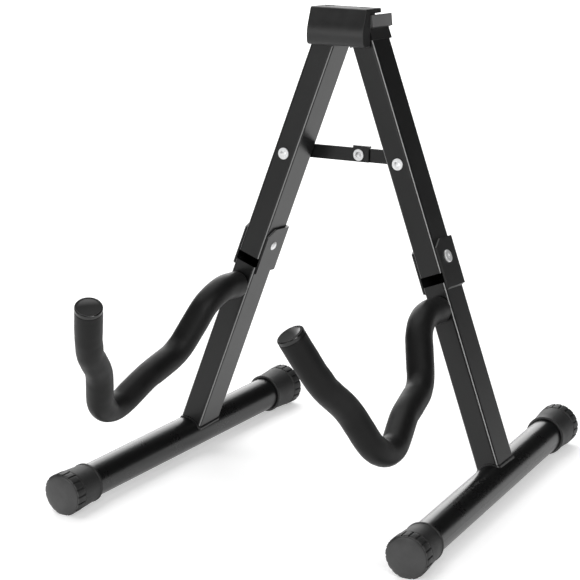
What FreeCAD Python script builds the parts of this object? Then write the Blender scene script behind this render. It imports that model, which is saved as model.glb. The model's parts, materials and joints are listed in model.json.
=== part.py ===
import FreeCAD, Part
import math
import os

from FreeCAD import Matrix, Placement, Vector

# Folding A-frame guitar stand, standing open. Millimetres.
# Row frame: +X to the stand's own left and right, -Y to the front where the guitar sits, +Z up.
# The floor is Z = 0 and the origin is the bottom centre of the whole stand's box.
#
# Three working frames, each with y to the back:
#   plane frame: the leaning plane that holds both legs; x across, z up the plane, from the foot axes
#   leg frame:   the right leg; x outward across the leg, z up the leg, from the knee pivot
#   foot frame:  one end of a foot tube; z out of that end, y up
# The left side is the mirror image of the right side.

# Stance
spread = 20.33            # degrees, each leg from the middle of the leg plane
lean = 6.85               # degrees, leg plane from upright
toe_out = 4.0             # degrees, each foot turned out at the front

# Distances along a leg, from the knee pivot
knee_to_foot = 180.5
knee_to_spreader = 81.1
knee_to_pin = 187.7
pin_to_top = 9.8
upper_bottom = 11.3

# Rectangular leg tube
tube_width = 20.0
tube_depth = 30.0
tube_wall = 1.5
tube_corner = 2.5

# Foot tube and its rubber caps
foot_diameter = 28.0
foot_wall = 1.5
foot_front = 183.0
foot_rear = 136.0
cap_wall = 3.5
cap_shoulder_wall = 3.2
cap_lip_wall = 2.3
cap_mouth_wall = 1.8
cap_end_wall = 3.0
cap_rib_length = 12.0
cap_length = 35.0
cap_lip_length = 2.4
cap_dome = 1.4
cap_ribs = 18
cap_groove_width = 1.6
cap_groove_depth = 1.1
sole_depth = 0.5

# Knee bracket, a steel channel welded round the top of the lower leg
bracket_plate = 1.6
bracket_side_gap = 0.3
bracket_back_gap = 0.4
bracket_top = 15.5
bracket_lap = 4.8
bracket_front_setback = 1.5
bracket_chamfer_height = 6.5
bracket_chamfer_depth = 9.5
knee_swing_gap = 0.6
knee_weld_leg = 1.4

# Rivets
running_gap = 0.05
knee_rivet_diameter = 6.0
knee_flange_diameter = 10.4
knee_flange_height = 1.4
knee_flange_bore = 3.6
knee_tail_diameter = 7.6
knee_tail_height = 1.6
pin_diameter = 6.0
pin_head_diameter = 10.0
pin_head_height = 1.8
pin_back_diameter = 11.0
pin_back_height = 2.2
spreader_rivet_diameter = 5.0
flange_diameter = 9.6
flange_height = 0.9
flange_dome_diameter = 5.2
flange_dome_height = 1.3
spreader_tail_diameter = 8.0
spreader_tail_height = 1.4
head_clearance = 0.1

# Plastic cap on top of each upper leg
leg_cap_wall = 1.0
leg_cap_top = 2.5
leg_cap_skirt = 19.0
leg_cap_head = 9.8
leg_cap_step = 0.6
leg_cap_toe = 0.8
leg_cap_facet = 6.5       # degrees, outer facet from upright
leg_cap_round = 0.8
centre_gap = 1.1

# Head: a moulded cover screwed to a steel plate that carries both leg pivots
cover_width = 52.0
cover_height = 30.1
cover_wall = 2.5
cover_top_wall = 3.6
cover_panel_depth = 12.0
cover_belly_height = 10.5
cover_belly_trim = 0.25
cover_tuck = 1.3
cover_slope = 6.2
cover_low_round = 3.5
cover_belly_round = 30.0
cover_top_round = 1.5
cover_top_back = 0.5
cover_round = 1.0
cover_gap = 0.7
cover_leg_gap = 0.5
plate_thickness = 2.5
plate_edge_gap = 1.5
flange_thickness = 2.0
flange_back = 2.0
washer_thickness = 0.9
washer_diameter = 10.8
screw_diameter = 4.0
screw_head_diameter = 7.0
screw_head_height = 1.7
screw_recess_diameter = 7.5
screw_recess_depth = 2.0
screw_length = 4.6
screw_spacing = 32.0
screw_from_middle = 8.0
screw_slot_width = 1.0

# Spreader: two flat straps behind the legs
link_height = 11.4
link_thickness = 1.6
link_gap = 0.1
link_washer = 1.0
link_washer_diameter = 11.0
link_overrun = 9.2
tab_inner = 5.4
tab_outer = 9.9
tab_gap = 0.3

# Cradle arm: a bent steel rod in a foam sleeve.
# Corners of the rod's centre line, forward of the leg's middle and up from the foot axis, with the bend radius.
rod_diameter = 8.0
foam_diameter = 22.0
foam_bore_gap = 0.1
foam_start = 1.8
arm_weld_height = 1.5
arm_weld_width = 1.8
arm_corners = [
    (53.0, 141.5, 34.0),
    (79.0, 88.6, 33.0),
    (115.2, 74.0, 35.0),
    (164.2, 40.0, 27.0),
    (192.0, 93.2, 53.0),
    (215.0, 113.2, 30.0),
    (224.0, 127.2, 32.0),
]
arm_end = (240.0, 159.4)
arm_root_height = 141.5
tip_length = 3.4
tip_round = 1.2
tip_dish = 0.7
tip_socket_depth = 1.6

foot_weld = 1.1

MANY = 500.0              # longer than anything it cuts

# Values worked out from the sizes above
SPREAD = math.radians(spread)
LEAN = math.radians(lean)
half_width = tube_width / 2
half_depth = tube_depth / 2
upper_top = knee_to_pin + pin_to_top
cap_radius = foot_diameter / 2 + cap_wall
foot_height = cap_radius - sole_depth
cap_top = upper_top + leg_cap_top
top_above_pin = cap_top - knee_to_pin
pin_half_spacing = (centre_gap + math.cos(SPREAD) * (half_width + leg_cap_wall)
                    + math.sin(SPREAD) * top_above_pin)
leg_length = knee_to_foot + knee_to_pin
half_track = pin_half_spacing + leg_length * math.sin(SPREAD)
pin_height = leg_length * math.cos(SPREAD)
pin_to_spreader = knee_to_pin - knee_to_spreader
spreader_half = pin_half_spacing + pin_to_spreader * math.sin(SPREAD)
spreader_height = pin_height - pin_to_spreader * math.cos(SPREAD)
lower_top = math.hypot(half_depth, upper_bottom) + knee_swing_gap
bracket_bottom = lower_top + bracket_lap
bracket_half = half_width + bracket_side_gap + bracket_plate
bracket_back = half_depth + bracket_back_gap + bracket_plate

# Leg cap outline: the head's lower outer corner stands plumb over the skirt's foot
skirt_low = upper_top + leg_cap_top - leg_cap_skirt
skirt_out = half_width + leg_cap_toe
head_low = cap_top - leg_cap_head
head_out = skirt_out + (head_low - skirt_low) * math.tan(SPREAD) + leg_cap_step
corner_out = head_out + leg_cap_head * math.tan(SPREAD - math.radians(leg_cap_facet))
cap_corner_height = pin_height + top_above_pin * math.cos(SPREAD) + corner_out * math.sin(SPREAD)

# Layers in front of the leg: cap skirt, washer, plate
cap_front = half_depth + leg_cap_wall
plate_back = cap_front + washer_thickness + head_clearance
plate_front = plate_back + plate_thickness
cover_under = cap_corner_height + cover_gap
cover_top = cover_under + cover_top_wall
cover_bottom = cover_top - cover_height
cover_panel_back = cap_front + cover_leg_gap
cover_panel_front = cover_panel_back + cover_panel_depth
plate_half = cover_width / 2 - cover_wall - plate_edge_gap

# Layers behind the leg: washer, left link, right link
left_link_front = half_depth + link_washer
left_link_back = left_link_front + link_thickness
right_link_front = left_link_back + link_gap
right_link_back = right_link_front + link_thickness

X = Vector(1, 0, 0)
Y = Vector(0, 1, 0)
Z = Vector(0, 0, 1)


def frame(origin, x_axis, y_axis, z_axis):
    """Placement that puts a local frame at origin with the given axes."""
    return Placement(Matrix(x_axis.x, y_axis.x, z_axis.x, origin.x,
                            x_axis.y, y_axis.y, z_axis.y, origin.y,
                            x_axis.z, y_axis.z, z_axis.z, origin.z,
                            0, 0, 0, 1))


up_plane = Vector(0, math.sin(LEAN), math.cos(LEAN))
back = Vector(0, math.cos(LEAN), -math.sin(LEAN))
plane_frame = frame(Vector(0, 0, foot_height), X, back, up_plane)
up_leg = up_plane * math.cos(SPREAD) - X * math.sin(SPREAD)
out_leg = X * math.cos(SPREAD) + up_plane * math.sin(SPREAD)
foot_centre = Vector(half_track, 0, foot_height)
leg_frame = frame(foot_centre + up_leg * knee_to_foot, out_leg, back, up_leg)
foot_forward = Vector(math.sin(math.radians(toe_out)), -math.cos(math.radians(toe_out)), 0)
front_frame = frame(foot_centre, Z.cross(foot_forward), Z, foot_forward)
rear_frame = frame(foot_centre, Z.cross(foot_forward * -1), Z, foot_forward * -1)


def moved(shape, placement):
    """Rigid copy of a shape."""
    copy = shape.copy()
    copy.Placement = placement.multiply(copy.Placement)
    return copy


def turned(points):
    """Solid of revolution about z from (radius, height) corners."""
    wire = Part.makePolygon([Vector(r, 0, z) for r, z in points + points[:1]])
    return Part.Face(wire).revolve(Vector(0, 0, 0), Z, 360)


def prism(points, axis, low, high):
    """Flat outline pushed along x or y. Corners are (y, z) for axis X and (x, z) for axis Y."""
    if axis is X:
        corners = [Vector(low, a, b) for a, b in points]
    else:
        corners = [Vector(a, low, b) for a, b in points]
    face = Part.Face(Part.makePolygon(corners + corners[:1]))
    return face.extrude(axis * (high - low))


def bar(width, depth, corner, low, high):
    """Upright bar with rounded long edges."""
    box = Part.makeBox(width, depth, high - low, Vector(-width / 2, -depth / 2, low))
    upright = [e for e in box.Edges if abs(e.tangentAt(e.FirstParameter).z) > 0.9]
    return box.makeFillet(corner, upright)


def leg_tube(low, high):
    """Stretch of the rectangular leg tube."""
    outer = bar(tube_width, tube_depth, tube_corner, low, high)
    inner = bar(tube_width - 2 * tube_wall, tube_depth - 2 * tube_wall,
                tube_corner - tube_wall, low - 1, high + 1)
    return outer.cut(inner)


def rod_along(axis, radius, start, length, at):
    """Cylinder along an axis through a point, from start for a length."""
    return Part.makeCylinder(radius, length, at + axis * start, axis)


def facing(direction, at):
    """Frame whose z runs along direction, for rivets and screws."""
    side = Z.cross(direction) if abs(direction.z) < 0.9 else X
    side.normalize()
    return frame(at, side, direction.cross(side), direction)


def rivet_head(diameter, height):
    """Low domed head standing on z = 0."""
    radius = diameter / 2
    ball = (radius ** 2 + height ** 2) / (2 * height)
    sphere = Part.makeSphere(ball, Vector(0, 0, height - ball))
    return sphere.common(Part.makeCylinder(radius + 1, height, Vector(0, 0, 0), Z))


def flange_head():
    """Flat flange with a small dome, standing on z = 0."""
    flange = Part.makeCylinder(flange_diameter / 2, flange_height)
    rim = [e for e in flange.Edges if e.Vertexes[0].Z > flange_height / 2]
    flange = flange.makeFillet(flange_height / 3, rim)
    dome = rivet_head(flange_dome_diameter, flange_dome_height)
    dome.translate(Z * flange_height)
    return flange.fuse(dome).removeSplitter()


def upper_leg():
    """Upper leg tube, in the leg frame, with its rivet holes and the back corner cut to swing."""
    tube = leg_tube(-upper_bottom, upper_top)
    corner = Part.makeBox(MANY, half_depth + 1, upper_bottom + 1,
                          Vector(-MANY / 2, 0, -upper_bottom - 1))
    swing = Part.makeCylinder(half_depth - head_clearance, MANY, Vector(-MANY / 2, 0, 0), X)
    tube = tube.cut(corner.cut(swing))
    knee = rod_along(X, knee_rivet_diameter / 2 + running_gap, -half_width - 1, tube_width + 2,
                     Vector(0, 0, 0))
    spreader = rod_along(Y, spreader_rivet_diameter / 2, -half_depth - 1, tube_depth + 2,
                         Vector(0, 0, knee_to_spreader))
    pin = rod_along(Y, pin_diameter / 2, -half_depth - 1, tube_depth + 2,
                    Vector(0, 0, knee_to_pin))
    return tube.cut(knee.fuse([spreader, pin]))


def leg_cap():
    """Plastic cap over the upper leg's top, in the leg frame."""
    inner = -half_width - leg_cap_wall
    outline = [(inner, skirt_low), (skirt_out, skirt_low), (skirt_out, head_low),
               (head_out, head_low), (corner_out, cap_top), (inner, cap_top)]
    block = prism(outline, Y, -half_depth - leg_cap_wall, half_depth + leg_cap_wall)
    top = [e for e in block.Edges
           if e.BoundBox.ZMin > cap_top - 0.01 or
           (e.BoundBox.ZMin > head_low - 0.01 and e.BoundBox.XMax > head_out - 0.01
            and e.BoundBox.ZMax > cap_top - 0.01)]
    block = block.makeFillet(leg_cap_round, top)
    block = block.cut(bar(tube_width, tube_depth, tube_corner, skirt_low - 1, upper_top))
    pin = rod_along(Y, pin_diameter / 2, -half_depth - 5, tube_depth + 10,
                    Vector(0, 0, knee_to_pin))
    return block.cut(pin)


def knee_bracket():
    """Channel round the knee, open to the front, in the leg frame."""
    inner = half_width + bracket_side_gap
    front = -half_depth + bracket_front_setback
    outer = Part.makeBox(2 * bracket_half, bracket_back - front, bracket_bottom + bracket_top,
                         Vector(-bracket_half, front, -bracket_bottom))
    back_edges = [e for e in outer.Edges
                  if abs(e.tangentAt(e.FirstParameter).z) > 0.9 and e.BoundBox.YMin > 0]
    outer = outer.makeFillet(bracket_plate, back_edges)
    hollow = Part.makeBox(2 * inner, MANY, bracket_bottom + bracket_top + 2,
                          Vector(-inner, half_depth + bracket_back_gap - MANY, -bracket_bottom - 1))
    corner = prism([(front - 1, bracket_top - bracket_chamfer_height - 1),
                    (front - 1, bracket_top + 1),
                    (front + bracket_chamfer_depth + 1, bracket_top + 1),
                    (front + bracket_chamfer_depth, bracket_top),
                    (front, bracket_top - bracket_chamfer_height)], X, -MANY / 2, MANY / 2)
    rivet = rod_along(X, knee_rivet_diameter / 2, -MANY / 2, MANY, Vector(0, 0, 0))
    return outer.cut(hollow.fuse([corner, rivet]))


def knee_rivet():
    """Semi-tubular rivet through the knee, from outer flange to inner tail, in the leg frame."""
    shank = rod_along(X, knee_rivet_diameter / 2, -bracket_half, 2 * bracket_half,
                      Vector(0, 0, 0))
    flange = Part.makeCylinder(knee_flange_diameter / 2, knee_flange_height)
    rim = [e for e in flange.Edges if e.Vertexes[0].Z > knee_flange_height / 2]
    flange = flange.makeFillet(knee_flange_height / 2, rim)
    bore = Part.makeCylinder(knee_flange_bore / 2, knee_flange_height,
                             Vector(0, 0, knee_flange_height / 4))
    flange = moved(flange.cut(bore), facing(X, X * bracket_half))
    tail = moved(rivet_head(knee_tail_diameter, knee_tail_height),
                 facing(X * -1, X * -bracket_half))
    return shank.fuse([flange, tail]).removeSplitter()


def knee_weld():
    """Three fillet welds under the bracket's lower edge, in the leg frame."""
    low = -bracket_bottom - knee_weld_leg
    run = tube_depth - 2 * tube_corner
    side = prism([(half_width, -bracket_bottom), (bracket_half, -bracket_bottom),
                  (half_width, low)], Y, -run / 2, run / 2)
    other = side.mirror(Vector(0, 0, 0), X)
    rear = prism([(half_depth, -bracket_bottom), (bracket_back, -bracket_bottom),
                  (half_depth, low)], X, -half_width + tube_corner, half_width - tube_corner)
    return Part.makeCompound([side, other, rear])


def lower_leg():
    """Lower leg tube, saddle-cut onto the foot tube, in the row frame."""
    tube = moved(leg_tube(-knee_to_foot, -lower_top), leg_frame)
    foot = rod_along(foot_forward, foot_diameter / 2, -MANY / 2, MANY, foot_centre)
    return tube.cut(foot)


def saddle_weld():
    """Bead round the joint of lower leg and foot tube, in the row frame."""
    collar = moved(bar(tube_width + 2 * foot_weld, tube_depth + 2 * foot_weld,
                       tube_corner + foot_weld, -knee_to_foot, -lower_top), leg_frame)
    near = rod_along(foot_forward, foot_diameter / 2 + foot_weld, -MANY / 2, MANY, foot_centre)
    foot = rod_along(foot_forward, foot_diameter / 2, -MANY / 2, MANY, foot_centre)
    leg = moved(bar(tube_width, tube_depth, tube_corner, -knee_to_foot, -lower_top), leg_frame)
    return collar.common(near).cut(foot.fuse(leg))


def foot_tube():
    """Round foot tube, along the foot frame's z of the front end."""
    length = foot_front + foot_rear - 2 * cap_end_wall
    start = Vector(0, 0, cap_end_wall - foot_rear)
    outer = Part.makeCylinder(foot_diameter / 2, length, start)
    inner = Part.makeCylinder(foot_diameter / 2 - foot_wall, length, start)
    return outer.cut(inner)


def foot_cap(end):
    """Rubber cap on a foot tube, its outer face at z = end, y up."""
    radius = cap_radius
    tube = foot_diameter / 2
    mouth = end - cap_length
    ribs_low = end - cap_rib_length
    edge = cap_dome
    body = turned([(0, mouth), (tube + cap_lip_wall, mouth),
                   (tube + cap_lip_wall, mouth + cap_lip_length),
                   (tube + cap_mouth_wall, mouth + cap_lip_length),
                   (tube + cap_shoulder_wall, ribs_low), (radius, ribs_low),
                   (radius, end - edge), (radius - edge, end - edge / 3),
                   (radius / 2, end), (0, end)])
    bore = Part.makeCylinder(foot_diameter / 2, cap_length - cap_end_wall, Vector(0, 0, mouth))
    step = 360.0 / cap_ribs
    groove = Part.makeBox(cap_groove_width, cap_groove_depth + 1, cap_rib_length - 2 * edge,
                          Vector(-cap_groove_width / 2, radius - cap_groove_depth, ribs_low + edge / 2))
    grooves = []
    for i in range(cap_ribs):
        cut = groove.copy()
        cut.rotate(Vector(0, 0, 0), Z, (i + 0.5) * step)
        grooves.append(cut)
    sole = Part.makeBox(2 * radius, sole_depth + 1, 2 * cap_length,
                        Vector(-radius, -radius - 1, mouth))
    return body.cut(Part.makeCompound(grooves)).cut(bore.fuse(sole))


def rounded(points, radii):
    """Edges of a path through points whose inner corners are rounded; radius 0 keeps a corner."""
    edges = []
    here = points[0]
    for i, radius in enumerate(radii):
        corner = points[i + 1]
        if radius == 0:
            edges.append(Part.LineSegment(here, corner).toShape())
            here = corner
            continue
        before = (corner - points[i]).normalize()
        after = (points[i + 2] - corner).normalize()
        half_turn = before.getAngle(after) / 2
        start = corner - before * (radius * math.tan(half_turn))
        end = corner + after * (radius * math.tan(half_turn))
        inward = (after - before).normalize()
        mid = corner + inward * (radius / math.cos(half_turn) - radius)
        edges.append(Part.LineSegment(here, start).toShape())
        edges.append(Part.Arc(start, mid, end).toShape())
        here = end
    edges.append(Part.LineSegment(here, points[-1]).toShape())
    return edges


def arm_point(forward, height):
    """Point in the leg frame from the arm's own measures."""
    return Vector(0, -forward, height - knee_to_foot)


def arm_path(trim):
    """Rod centre line from the leg's front face, ending trim short of the arm's end."""
    corners = [arm_point(f, h) for f, h, _ in arm_corners]
    last = arm_point(*arm_end)
    run = (last - corners[-1]).normalize()
    points = [arm_point(half_depth, arm_root_height)] + corners + [last - run * trim]
    return rounded(points, [r for _, _, r in arm_corners]), run


def sweep(edges, radius, skip):
    """Round bar along a path whose first straight starts skip further on."""
    first = edges[0]
    begin = first.Vertexes[0].Point
    finish = first.Vertexes[1].Point
    way = (finish - begin).normalize()
    begin = begin + way * skip
    path = Part.Wire([Part.LineSegment(begin, finish).toShape()] + edges[1:])
    ring = Part.Wire([Part.makeCircle(radius, begin, way)])
    return path.makePipeShell([ring], True, True)


def arm_rod():
    """Bent steel rod of a cradle arm, in the leg frame."""
    edges, _ = arm_path(tip_length - tip_socket_depth)
    return sweep(edges, rod_diameter / 2, 0)


def arm_foam():
    """Foam sleeve on the rod, in the leg frame."""
    edges, _ = arm_path(tip_length)
    longer, _ = arm_path(0)
    outer = sweep(edges, foam_diameter / 2, foam_start)
    bore = sweep(longer, rod_diameter / 2 + foam_bore_gap, 0)
    return outer.cut(bore)


def arm_tip():
    """Dished plastic disc on the end of a cradle arm, in the leg frame."""
    _, run = arm_path(0)
    radius = foam_diameter / 2
    disc = Part.makeCylinder(radius, tip_length)
    disc = disc.makeFillet(tip_round, [e for e in disc.Edges if e.Vertexes[0].Z > tip_length / 2])
    dish_width = radius - 2 * tip_round
    ball = (dish_width ** 2 + tip_dish ** 2) / (2 * tip_dish)
    dish = Part.makeSphere(ball, Vector(0, 0, tip_length - tip_dish + ball))
    socket = Part.makeCylinder(rod_diameter / 2, tip_socket_depth)
    return moved(disc.cut(dish).cut(socket),
                 facing(run, arm_point(*arm_end) - run * tip_length))


def arm_weld():
    """Weld ring where the rod meets the leg's front face, in the leg frame."""
    ring = turned([(rod_diameter / 2, 0), (rod_diameter / 2 + arm_weld_width, 0),
                   (rod_diameter / 2, arm_weld_height)])
    return moved(ring, facing(Y * -1, arm_point(half_depth, arm_root_height)))


def head_cover():
    """Moulded cover, in the plane frame: bulging front panel, ends, bottom and a top wall."""
    back_y = -cover_panel_back
    front_y = -cover_panel_front
    belly = cover_bottom + cover_belly_height
    corners = [(back_y, cover_bottom, 0), (front_y + cover_tuck, cover_bottom, cover_low_round),
               (front_y - cover_belly_trim, belly, cover_belly_round),
               (front_y + cover_slope, cover_top, cover_top_round), (cover_top_back, cover_top, 0),
               (cover_top_back, cover_under, 0), (back_y, cover_under, 0)]
    points = [Vector(-cover_width / 2, y, z) for y, z, _ in corners]
    outline = rounded(points + points[:1], [r for _, _, r in corners[1:]])
    block = Part.Face(Part.Wire(outline)).extrude(X * cover_width)
    ends = [e for e in block.Edges
            if e.BoundBox.XLength < 0.01 and e.BoundBox.YMin < back_y - 0.01]
    block = block.makeFillet(cover_round, ends)
    pocket_half = cover_width / 2 - cover_wall
    pocket_low = cover_bottom + cover_wall
    pocket_front = -plate_front - pin_head_height - 2 * running_gap - cover_leg_gap
    pocket = Part.makeBox(2 * pocket_half, back_y - pocket_front, cover_under - pocket_low,
                          Vector(-pocket_half, pocket_front, pocket_low))
    for side in (-1, 1):
        at = Vector(side * screw_spacing / 2, -screw_from_middle, cover_top)
        recess = rod_along(Z, screw_recess_diameter / 2, -screw_recess_depth, MANY, at)
        hole = rod_along(Z, screw_diameter / 2, -cover_top_wall - 1, MANY, at)
        pocket = pocket.fuse([recess, hole])
    return block.cut(pocket)


def head_plate():
    """Steel plate behind the cover that carries the leg pivots, bent back under its top wall."""
    low = cover_bottom + cover_wall
    upright = Part.makeBox(2 * plate_half, plate_thickness, cover_under - low,
                           Vector(-plate_half, -plate_front, low))
    flange = Part.makeBox(2 * plate_half, plate_front - flange_back, flange_thickness,
                          Vector(-plate_half, -plate_front, cover_under - flange_thickness))
    plate = upright.fuse(flange).removeSplitter()
    for side in (-1, 1):
        pin = rod_along(Y, pin_diameter / 2 + running_gap, -plate_front - 1, plate_thickness + 2,
                        Vector(side * pin_half_spacing, 0, pin_height))
        hole = rod_along(Z, screw_diameter / 2, -flange_thickness - 1, flange_thickness + 2,
                         Vector(side * screw_spacing / 2, -screw_from_middle, cover_under))
        plate = plate.cut(pin.fuse(hole))
    return plate


def cover_screws():
    """Two cross-slotted screws down through the cover's top wall, in the plane frame."""
    screws = []
    for side in (-1, 1):
        seat = Vector(side * screw_spacing / 2, -screw_from_middle, cover_top - screw_recess_depth)
        shank = rod_along(Z, screw_diameter / 2, -screw_length, screw_length, seat)
        head = Part.makeCylinder(screw_head_diameter / 2, screw_head_height, seat)
        rim = [e for e in head.Edges if e.Vertexes[0].Z > seat.z + screw_head_height / 2]
        head = head.makeFillet(screw_head_height / 4, rim)
        slot = Part.makeBox(screw_head_diameter * 0.62, screw_slot_width, screw_head_height,
                            seat + Vector(-screw_head_diameter * 0.31, -screw_slot_width / 2,
                                          screw_head_height / 2))
        cross = slot.copy()
        cross.rotate(seat, Z, 90)
        screws.append(shank.fuse(head).cut(slot.fuse(cross)).removeSplitter())
    return Part.makeCompound(screws)


def pivot_rivet():
    """Rivet through the leg's top, the washer and the plate, in the leg frame."""
    at = Vector(0, 0, knee_to_pin)
    shank = rod_along(Y, pin_diameter / 2, -plate_front - head_clearance,
                      plate_front + head_clearance + cap_front, at)
    front = moved(rivet_head(pin_head_diameter, pin_head_height),
                  facing(Y * -1, at - Y * (plate_front + head_clearance)))
    rear = moved(rivet_head(pin_back_diameter, pin_back_height), facing(Y, at + Y * cap_front))
    return shank.fuse([front, rear]).removeSplitter()


def pivot_washer():
    """Nylon washer between the leg cap and the head plate, in the leg frame."""
    at = Vector(0, -cap_front - washer_thickness, knee_to_pin)
    ring = Part.makeCylinder(washer_diameter / 2, washer_thickness, at, Y)
    return ring.cut(Part.makeCylinder(pin_diameter / 2, washer_thickness, at, Y))


def spreader_rivet(tail_at):
    """Flange-head rivet through the upper leg; tail_at is how far back its tail begins, or None."""
    at = Vector(0, 0, knee_to_spreader)
    head = moved(flange_head(), facing(Y * -1, at - Y * half_depth))
    reach = right_link_front - link_gap if tail_at is None else tail_at
    shank = rod_along(Y, spreader_rivet_diameter / 2, -half_depth, half_depth + reach, at)
    pieces = [head]
    if tail_at is not None:
        pieces.append(moved(rivet_head(spreader_tail_diameter, spreader_tail_height),
                            facing(Y, at + Y * tail_at)))
    return shank.fuse(pieces).removeSplitter()


def spreader_washer(thickness):
    """Washer between the leg's back face and a link, in the leg frame."""
    at = Vector(0, half_depth, knee_to_spreader)
    ring = Part.makeCylinder(link_washer_diameter / 2, thickness, at, Y)
    return ring.cut(Part.makeCylinder(spreader_rivet_diameter / 2, thickness, at, Y))


def strap(start, end, front, round_end):
    """Flat strap along x with a round left end and, if asked, a round right end."""
    radius = link_height / 2
    body = Part.makeBox(end - start, link_thickness, link_height,
                        Vector(start, front, spreader_height - radius))
    tips = [start] + ([end] if round_end else [])
    rounds = [Part.makeCylinder(radius, link_thickness, Vector(x, front, spreader_height), Y)
              for x in tips]
    return body.fuse(rounds).removeSplitter()


def pivot_hole(x, radius):
    """Cutter for a link's pivot hole."""
    return Part.makeCylinder(radius, MANY, Vector(x, 0, spreader_height), Y)


def left_link():
    """Front strap with the stop tab bent back over the other strap's top edge."""
    radius = link_height / 2
    body = strap(-spreader_half, link_overrun, left_link_front, False)
    rise = Part.makeBox(tab_inner + tab_outer, link_thickness, tab_gap + link_thickness + 1,
                        Vector(-tab_inner, left_link_front, spreader_height + radius - 1))
    tab = Part.makeBox(tab_inner + tab_outer, right_link_back - left_link_front, link_thickness,
                       Vector(-tab_inner, left_link_front, spreader_height + radius + tab_gap))
    body = body.fuse([rise, tab]).removeSplitter()
    body = body.cut(pivot_hole(-spreader_half, spreader_rivet_diameter / 2 + running_gap))
    return body.cut(pivot_hole(0, spreader_rivet_diameter / 2))


def right_link():
    """Rear strap, from the middle rivet to behind the right leg."""
    body = strap(0, spreader_half, right_link_front, True)
    body = body.cut(pivot_hole(0, spreader_rivet_diameter / 2 + running_gap))
    return body.cut(pivot_hole(spreader_half, spreader_rivet_diameter / 2))


def middle_rivet():
    """Rivet joining both straps, in the plane frame."""
    at = Vector(0, 0, spreader_height)
    tail_at = right_link_back + head_clearance
    head = moved(flange_head(), facing(Y * -1, at + Y * left_link_front))
    shank = rod_along(Y, spreader_rivet_diameter / 2, left_link_front,
                      tail_at - left_link_front, at)
    tail = moved(rivet_head(spreader_tail_diameter, spreader_tail_height),
                 facing(Y, at + Y * tail_at))
    return shank.fuse([head, tail]).removeSplitter()


def tail_rivet():
    """Rear half of the right leg's spreader rivet, carried by the strap."""
    at = Vector(spreader_half, 0, spreader_height)
    shank = rod_along(Y, spreader_rivet_diameter / 2, right_link_front, link_thickness, at)
    tail = moved(rivet_head(spreader_tail_diameter, spreader_tail_height),
                 facing(Y, at + Y * right_link_back))
    return shank.fuse(tail).removeSplitter()


def side_pieces():
    """Pieces that both sides share, built for the right side, in the row frame."""
    in_leg = {
        "upper_leg": upper_leg(),
        "leg_cap": leg_cap(),
        "pivot_rivet": pivot_rivet(),
        "pivot_washer": pivot_washer(),
        "knee_bracket": knee_bracket(),
        "knee_rivet": knee_rivet(),
        "knee_weld": knee_weld(),
        "arm_rod": arm_rod(),
        "arm_foam": arm_foam(),
        "arm_tip": arm_tip(),
        "arm_weld": arm_weld(),
    }
    pieces = {name: moved(shape, leg_frame) for name, shape in in_leg.items()}
    pieces["lower_leg"] = lower_leg()
    pieces["foot_weld"] = saddle_weld()
    pieces["foot_tube"] = moved(foot_tube(), front_frame)
    pieces["front_foot_cap"] = moved(foot_cap(foot_front), front_frame)
    pieces["rear_foot_cap"] = moved(foot_cap(foot_rear), rear_frame)
    return pieces


def mirrored(shape):
    """Left-hand copy of a right-hand piece."""
    return shape.mirror(Vector(0, 0, 0), X)


def all_pieces():
    """Every node's shape in the row frame, origin at the bottom centre of the box."""
    nodes = {}
    for name, shape in side_pieces().items():
        nodes["right_" + name] = shape
        nodes["left_" + name] = mirrored(shape)
    nodes["left_spreader_rivet"] = mirrored(
        moved(spreader_rivet(left_link_back + head_clearance), leg_frame))
    nodes["right_spreader_rivet"] = moved(spreader_rivet(None), leg_frame)
    nodes["left_spreader_washer"] = mirrored(moved(spreader_washer(link_washer), leg_frame))
    nodes["right_spreader_spacer"] = moved(
        spreader_washer(right_link_front - link_gap - half_depth), leg_frame)
    in_plane = {
        "head_cover": head_cover(),
        "head_plate": head_plate(),
        "cover_screws": cover_screws(),
        "spreader_left_link": left_link(),
        "spreader_right_link": right_link(),
        "spreader_middle_rivet": middle_rivet(),
        "spreader_tail_rivet": tail_rivet(),
    }
    for name, shape in in_plane.items():
        nodes[name] = moved(shape, plane_frame)
    front = nodes["right_arm_tip"].BoundBox.YMin
    rear = nodes["right_rear_foot_cap"].BoundBox.YMax
    centre = Vector(0, (front + rear) / 2, 0)
    for shape in nodes.values():
        shape.translate(centre * -1)
    return nodes, centre


def main():
    """Write one STEP file per node."""
    os.makedirs("parts", exist_ok=True)
    nodes, centre = all_pieces()
    for name, shape in sorted(nodes.items()):
        if not shape.isValid():
            print("not valid:", name)
        shape.exportStep(os.path.join("parts", name + ".step"))
    print(len(nodes), "nodes; origin is", round(centre.y, 2), "mm from the legs' foot line")


main()
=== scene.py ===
"""Looks for a folding guitar stand, built round its fixed CAD frame."""

import json
import logging
import math
from dataclasses import dataclass, field
from enum import Enum
from typing import Any, Callable, Iterable, Mapping, Sequence, Union

import bpy
from mathutils import Matrix, Vector

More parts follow.
